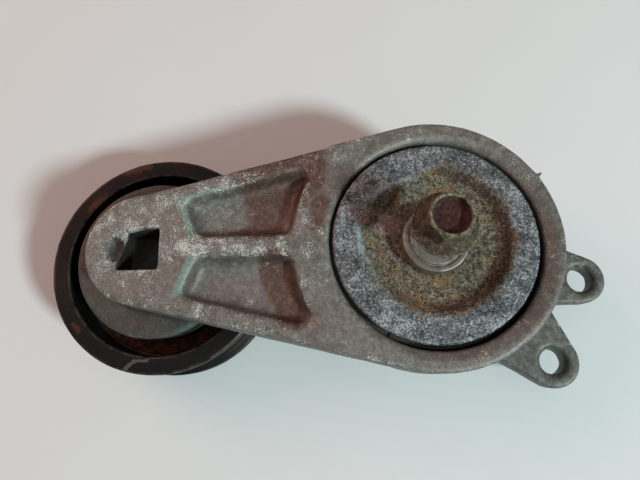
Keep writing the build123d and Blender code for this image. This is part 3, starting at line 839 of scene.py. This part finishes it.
def paint_cap(mesh):
    """Paints the dish, painted shade on its redder right wall, the channel's stain, frost and
    painted highlight.
    """
    places = vertex_places(mesh)
    x, y = places[:, 0], places[:, 1]
    inside = into_dish(x, y)
    paint(mesh, "dish", np.clip(0.5 + inside / (5 * MM), 0, 1))
    # Painted shade with redder rust on the dish's wall on its right.
    wall = np.exp(-((inside - 2.4 * MM) / (1.6 * MM)) ** 2)
    facing_right = smooth_step(np.cos(np.arctan2(y, x) - radians(-5)), -0.45, 0.35)
    paint(mesh, "slope_rust_and_shade", wall * facing_right)
    along, across = channel_place(x, y)
    stretch = smooth_step(along, 9 * MM, 13 * MM) * (1 - smooth_step(along, 26 * MM, 32 * MM))
    paint(mesh, "spur", 0.62 * stretch * (1 - smooth_step(across, 1.6 * MM, 6.4 * MM)))
    # Pale frost with a painted highlight along the dish's left edge.
    frost_and_highlight = np.zeros(len(places))
    for start, end, reach, amount in (
        ((-19.2, 14.2), (-15.5, 17.6), 1.6, 1.1),
        ((-15.5, 17.6), (-7, 20.6), 1.3, 0.85),
        ((-24.2, 5.2), (-22.8, -3), 1.5, 0.95),
        ((-22.6, -3), (-17.5, -13.5), 1.3, 0.7),
    ):
        frost_and_highlight = np.maximum(frost_and_highlight, amount * mark(places, start, end, reach))
    paint(mesh, "frost_and_highlight", frost_and_highlight)


def make_cap():
    mesh = cap_mesh()
    roughen(mesh, [(5, 0.07, 11), (1.6, 0.07, 12), (0.9, 0.06, 13)], node_box("front_cap"))
    paint_cap(mesh)
    new_piece("cap_plate", mesh, "base", "front_cap", rusted_cap())


TUBE_RADIUS, TUBE_BORE, COLLAR_LOW = 8.0, 4.6, 41.2     # in millimetres
SEAT_PLAY = 0.09                        # millimetres clear of the bolt's flange, for the roughness


def make_tube():
    """The pivot tube; its staked front end is the bright seat, with a fine groove in it."""
    low, high = node_box("pivot_tube")
    top = high[2] / MM - SEAT_PLAY
    seat = node_radius("pivot_tube") / MM
    shoulder, groove, inner_land = top - 0.35, top - 0.7, seat - 2.3
    corners = [
        (TUBE_BORE, 0.6, 0.2), (TUBE_BORE + 0.6, 0, 0.2), (TUBE_RADIUS, 0, 0.3),
        (TUBE_RADIUS, COLLAR_LOW, 0.1), (seat, COLLAR_LOW, 0.1), (seat, shoulder, 0.5),
        (seat - 1.6, shoulder, 0.2), (seat - 1.75, groove, 0.1), (seat - 2.15, groove, 0.1),
        (inner_land, top, 0.2), (TUBE_BORE + 0.6, top, 0.2), (TUBE_BORE, top - 0.6, 0.2),
    ]
    mesh = lathe("pivot_sleeve", corners, PIVOT, 220, 0.6)
    roughen(mesh, [(3, 0.03, 21)], (low, high))
    bright, dull, tint = (0.50, 0.46, 0.41), (0.20, 0.185, 0.16), (0.17, 0.125, 0.10)
    material = turned_steel("seat_steel", PIVOT, bright, dull, tint, 0.42)
    new_piece("pivot_sleeve", mesh, "base", "pivot_tube", material)


# ---------------------------------------------------------------- bolts
def hexagon_radius(angle, across_flats, corner):
    """Distance from the axis to a hexagon's side; a corner lies at the angle named corner."""
    return across_flats / 2 / np.cos((angle - corner) % (pi / 3) - pi / 6)


HEAD_CHAMFER = 1.5                      # millimetres, as is everything else in a bolt's rows
FLANGE_EDGE = 1.1                       # height of the flange's rounded edge


def head_rows(size, side):
    """(radius, height) rows from the middle of the head's hollow down to the flange's edge."""
    half, head, hollow, flange = size["across"] / 2, size["head"], size["hollow"], size["flange"]
    rim, floor = half - 0.75, 0.74      # the hollow's floor takes up this share of the rim
    rows = [(share * floor * rim, head - hollow) for share in np.linspace(0.04, 1, 14)]
    for share in np.linspace(0.1, 1, 10):
        radius = rim * (floor + (1 - floor) * np.sin(share * pi / 2))
        rows.append((radius, head - hollow * (1 - share**2)))
    for drop in np.linspace(0, HEAD_CHAMFER, 9):
        cone = half - 0.12 + drop / HEAD_CHAMFER * 1.15
        rows.append((np.minimum(side, cone), head - drop))
    shoulder, foot = head - HEAD_CHAMFER, size["cone"] - 0.35
    rows += [(side, shoulder - share * (shoulder - foot)) for share in np.linspace(0.12, 1, 22)]
    for share in np.linspace(0.06, 1, 12):
        radius = side + (flange - side) * share
        lift = np.clip((flange - radius) / (flange - half), 0, 1)
        rows.append((radius, FLANGE_EDGE + (foot - FLANGE_EDGE) * lift**1.15))
    return rows


def flange_rows(size):
    """(radius, height) rows round the flange's edge and in to the shank."""
    flange = size["flange"]
    rows = [(flange, 0.95), (flange, 0.7), (flange, 0.45), (flange - 0.12, 0.18)]
    return rows + [(radius, 0.0) for radius in
                   (flange - 0.35, *np.linspace(flange - 1, size["shank"], 5))]


def shank_rows(size, angle, upwards):
    """(radius, height) rows down the plain shank and the thread to the tip."""
    shank, pitch, length = size["shank"], size["pitch"], size["length"]
    plain = length - size["thread"]
    rows = [(shank, -height) for height in np.linspace(0.4, plain, 24)]
    for height in np.arange(plain + 0.2, length, 0.2):
        phase = (height / pitch * upwards + angle / TURN) % 1.0
        cut = 0.6 * pitch * (1 - np.abs(2 * phase - 1)) * smooth_step(height, plain, plain + 2)
        point = max(0.0, height - length + 1.0)
        rows.append((shank - np.maximum(cut, point), -height))
    return rows + [(shank - 1.3, -length)]


def bolt_mesh(name, size, centre, seat, upwards):
    """A flange bolt's mesh, from the middle of its head to its tip.

    size holds millimetres: across, flange, head, cone, shank, length, thread, pitch and hollow,
    and a corner's angle in degrees. Heights run up from the seat under the flange, and upwards is
    -1 for a bolt put in from below.
    """
    segments = 240
    angle = np.arange(segments) / segments * TURN
    side = hexagon_radius(angle, size["across"], radians(size["corner"]))
    rows = head_rows(size, side) + flange_rows(size) + shank_rows(size, angle, upwards)
    radius = np.stack([np.broadcast_to(row[0], segments) for row in rows]) * MM
    height = np.stack([np.broadcast_to(row[1], segments) for row in rows]) * MM
    grid = np.stack([
        centre[0] + radius * np.cos(angle),
        centre[1] + radius * np.sin(angle),
        seat + upwards * height,
    ], 2)
    mesh = spun_mesh(name, grid, closed=False)
    if upwards > 0:
        mesh.flip_normals()
    return mesh


def make_mounting_bolt():
    low, high = node_box("mounting_bolt")
    length = 60.0
    seat = low[2] + length * MM
    flange = node_radius("mounting_bolt") / MM
    size = dict(
        across=12.0, flange=flange, head=(high[2] - low[2]) / MM - length,
        cone=3.0 * flange / 9.4,        # 3 mm on a full 9.4 mm flange
        shank=4.0, length=length, thread=26.0, pitch=1.25, hollow=2.4, corner=10.4,
    )
    centre = node_centre("mounting_bolt")[:2]
    mesh = bolt_mesh("flange_bolt", size, centre, seat, 1)
    paint_curvature(mesh, 0.12 * MM)
    places = vertex_places(mesh)
    height = places[:, 2]
    from_axis = np.hypot(places[:, 0] - centre[0], places[:, 1] - centre[1])
    hollow = (1 - smooth_step(from_axis, 4.6 * MM, 5.3 * MM)) * (height > high[2] - 3 * MM)
    # Painted shadow: a dark band round the flange's lower edge, where it meets the seat.
    shadow_under_flange = (from_axis > 8.6 * MM) * (height < seat + 0.9 * MM)
    paint(mesh, "hollow", np.maximum(hollow, 0.9 * shadow_under_flange))
    on_head = smooth_step(height, seat + 0.1 * MM, seat + 0.5 * MM)
    roughen(mesh, [(2.5, 0.06, 31), (1.0, 0.06, 32), (0.6, 0.03, 33)], (low, high), on_head)
    new_piece("flange_bolt", mesh, "bolt", "mounting_bolt", rusted_bolt())


def make_pulley_bolt():
    low, high = node_box("pulley_bolt")
    head = 5.5
    size = dict(
        across=15.0, flange=node_radius("pulley_bolt") / MM, head=head, cone=2.2, shank=5.0,
        length=(high[2] - low[2]) / MM - head, thread=18.0, pitch=1.5, hollow=0.8, corner=20,
    )
    mesh = bolt_mesh("pulley_screw", size, PULLEY, low[2] + head * MM, -1)
    paint_curvature(mesh, 0.12 * MM)
    paint(mesh, "hollow", np.zeros(len(mesh.vertices)))
    roughen(mesh, [(2.5, 0.04, 34), (1.0, 0.04, 35)], (low, high))
    new_piece("pulley_screw", mesh, "arm", "pulley_bolt", rusted_bolt())


# ---------------------------------------------------------------- pulley
FLANGE = 3.3                            # millimetres, as are all the pulley's other sizes
HUB, BEARING, LIP = 26.0, 23.5, 21.6    # radii of the hub, its bore and the lip behind the bearing
WEB_LOW, WEB_HIGH = 11.0, 14.0
RIDGES, RIDGE_PITCH, RIDGE_HEIGHT = 4, 1.1, 0.45


def pulley_corners(outer, belt, inner, width):
    """The pulley's outline, as corners of (radius, height, rounding)."""
    seat = node_box("bearing_outer_ring")[0][2] / MM
    hub_top = node_box("bearing_outer_ring")[1][2] / MM + 0.6
    first = inner - 1.6                 # crest of the outermost ridge
    ridges = []
    for number in range(RIDGES):
        crest = first - RIDGE_PITCH * number
        ridges += [(crest + RIDGE_PITCH / 2, WEB_HIGH, 0.2), (crest, WEB_HIGH + RIDGE_HEIGHT, 0.2)]
    ridges.append((first - RIDGE_PITCH * (RIDGES - 0.5), WEB_HIGH, 0.2))
    return [
        (inner, 0, 0.6), (outer, 0, 0.8), (outer, FLANGE - 0.4, 0.5), (belt, FLANGE + 0.5, 0.9),
        (belt, width - FLANGE - 0.5, 0.9), (outer, width - FLANGE + 0.4, 0.5),
        (outer, width, 0.9), (inner, width, 0.9), (inner, WEB_HIGH, 0.5), *ridges,
        (HUB, WEB_HIGH, 0.4), (HUB, hub_top, 0.5),
        (BEARING, hub_top, 0.3), (BEARING, seat, 0.05), (LIP, seat, 0.1), (LIP, seat - 1, 0.3),
        (HUB, seat - 1, 0.6), (HUB, WEB_LOW, 0.5), (inner, WEB_LOW, 0.5),
    ]


def make_pulley():
    low, high = node_box("pulley_rim")
    outer, width = node_radius("pulley_rim") / MM, (high[2] - low[2]) / MM
    belt, inner = outer - 2.9, outer - 6.1
    mesh = lathe("pulley_wheel", pulley_corners(outer, belt, inner, width), PULLEY, 360, 0.7)
    paint_curvature(mesh, 0.16 * MM)
    roughen(mesh, [(14, 0.05, 41), (3, 0.03, 42)], (low, high))
    places = vertex_places(mesh)
    radius = np.hypot(places[:, 0] - PULLEY[0], places[:, 1] - PULLEY[1]) / MM
    height = places[:, 2] / MM
    on_belt = (radius > belt - 1) & (radius < belt + 0.4)
    between_flanges = (height > FLANGE + 1) & (height < width - FLANGE - 1)
    paint(mesh, "track", on_belt & between_flanges)
    paint(mesh, "web", (radius < inner - 0.8) & (radius > HUB + 0.1) & (height > WEB_HIGH - 0.5))
    scuff = np.maximum(
        mark(places, (-103, -37.3), (-98.5, -33.4), 0.9),
        mark(places, (-98.5, -33.4), (-94, -33.2), 0.6),
    )
    paint(mesh, "scuff", scuff * (height > width - 2))
    rust = np.zeros(len(places))
    for start, end, reach in (
        ((-117, 21), (-114, 24), 3.0),
        ((-120, -21), (-118, -23), 1.6),
        ((-128.5, 16), (-124, 23), 1.4),
        ((-106, 34), (-98, 36.5), 2.2),
        ((-129, -2), (-128.5, -9), 1.3),
    ):
        rust = np.maximum(rust, 0.8 * mark(places, start, end, reach))
    paint(mesh, "rust", rust * (height > width - 3))
    new_piece("pulley_wheel", mesh, "pulley", "pulley_rim", pulley_steel())


# ---------------------------------------------------------------- torsion spring
SPRING_GREY, SPRING_GLOSS = (0.19, 0.18, 0.17), 0.32


def make_spring():
    """The CAD spring's shape in oiled steel, as a free piece that rides on no body."""
    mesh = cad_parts["torsion_spring"].data.copy()
    material = oiled_steel("spring_steel", SPRING_GREY, SPRING_GLOSS)
    spring = free_piece("twisting_spring", mesh, "torsion_spring", material)
    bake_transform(spring)


# ---------------------------------------------------------------- CAD nodes that keep their shape
def finish_cad_nodes():
    nylon = moulded("nylon", (0.020, 0.020, 0.021), (0.045, 0.044, 0.042), 0.42)
    rubber = moulded("seal_rubber", (0.016, 0.016, 0.017), (0.030, 0.029, 0.028), 0.55)
    cage = moulded("cage_nylon", (0.40, 0.28, 0.15), (0.50, 0.37, 0.21), 0.40)
    bearing = oiled_steel("bearing_steel", (0.62, 0.62, 0.63), 0.14)
    shield = zinc_sheet()
    materials = {
        "disc_spring": oiled_steel("disc_steel", SPRING_GREY, SPRING_GLOSS),
        "spring_bushing": nylon, "thrust_washer": nylon,
        "pivot_bushing": nylon, "damping_ring": nylon,
        "rear_dust_shield": shield, "front_dust_shield": shield,
        "bearing_inner_ring": bearing, "bearing_outer_ring": bearing, "bearing_balls": bearing,
        "bearing_seal_rear": rubber, "bearing_seal_front": rubber, "bearing_cage": cage,
    }
    for node, material in materials.items():
        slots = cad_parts[node].data.materials
        slots.clear()
        slots.append(material)


# ---------------------------------------------------------------- stage
def make_floor():
    g = Graph("pale_floor")
    tone = g.blend(g.noise(60, 2), (0.74, 0.755, 0.755), (0.78, 0.79, 0.785))
    bpy.ops.mesh.primitive_plane_add(size=6)
    floor = bpy.context.object
    floor.name = "floor"
    floor.data.materials.append(g.finish(tone, 0.85, 0.0))


def area_light(name, place, target, size, power, color):
    data = bpy.data.lights.new(name, "AREA")
    data.shape = "DISK"
    data.size = size
    data.energy = power
    data.color = color
    light = bpy.data.objects.new(name, data)
    light.location = place
    light.rotation_euler = (Vector(target) - Vector(place)).to_track_quat("-Z", "Y").to_euler()
    bpy.context.scene.collection.objects.link(light)


def make_lights():
    middle = (-0.03, 0, 0.03)
    area_light("key", (0.82, -0.61, 0.88), middle, 0.19, 16.1, (0.77, 0.95, 0.97))
    area_light("top", (-0.05, 0.05, 1.1), middle, 0.9, 1.0, (1.0, 1.0, 1.0))
    area_light("fill", (-0.88, 0.52, 0.66), middle, 0.75, 4.7, (1.0, 0.52, 0.42))
    world = bpy.data.worlds.new("studio")
    world.use_nodes = True
    background = world.node_tree.nodes["Background"]
    background.inputs["Color"].default_value = (1.0, 0.87, 0.81, 1)
    background.inputs["Strength"].default_value = 0.175
    bpy.context.scene.world = world


def make_camera():
    """A wide lens close above the part, leaning back about 15 degrees from straight down."""
    data = bpy.data.cameras.new("camera")
    data.lens = 28.0
    data.sensor_width = 36.0
    data.clip_start = 0.01
    camera = bpy.data.objects.new("camera", data)
    turned = Euler((radians(15.206), radians(1.597), radians(-1.287))).to_matrix().to_4x4()
    camera.matrix_world = Matrix.Translation((-0.03231, -0.03936, 0.19351)) @ turned
    bpy.context.scene.collection.objects.link(camera)
    bpy.context.scene.camera = camera


make_floor()
make_lights()
make_camera()
make_arm()
make_base()
make_cap()
make_tube()
make_mounting_bolt()
make_pulley_bolt()
make_pulley()
make_spring()
finish_cad_nodes()
bpy.context.scene.view_settings.view_transform = "Standard"
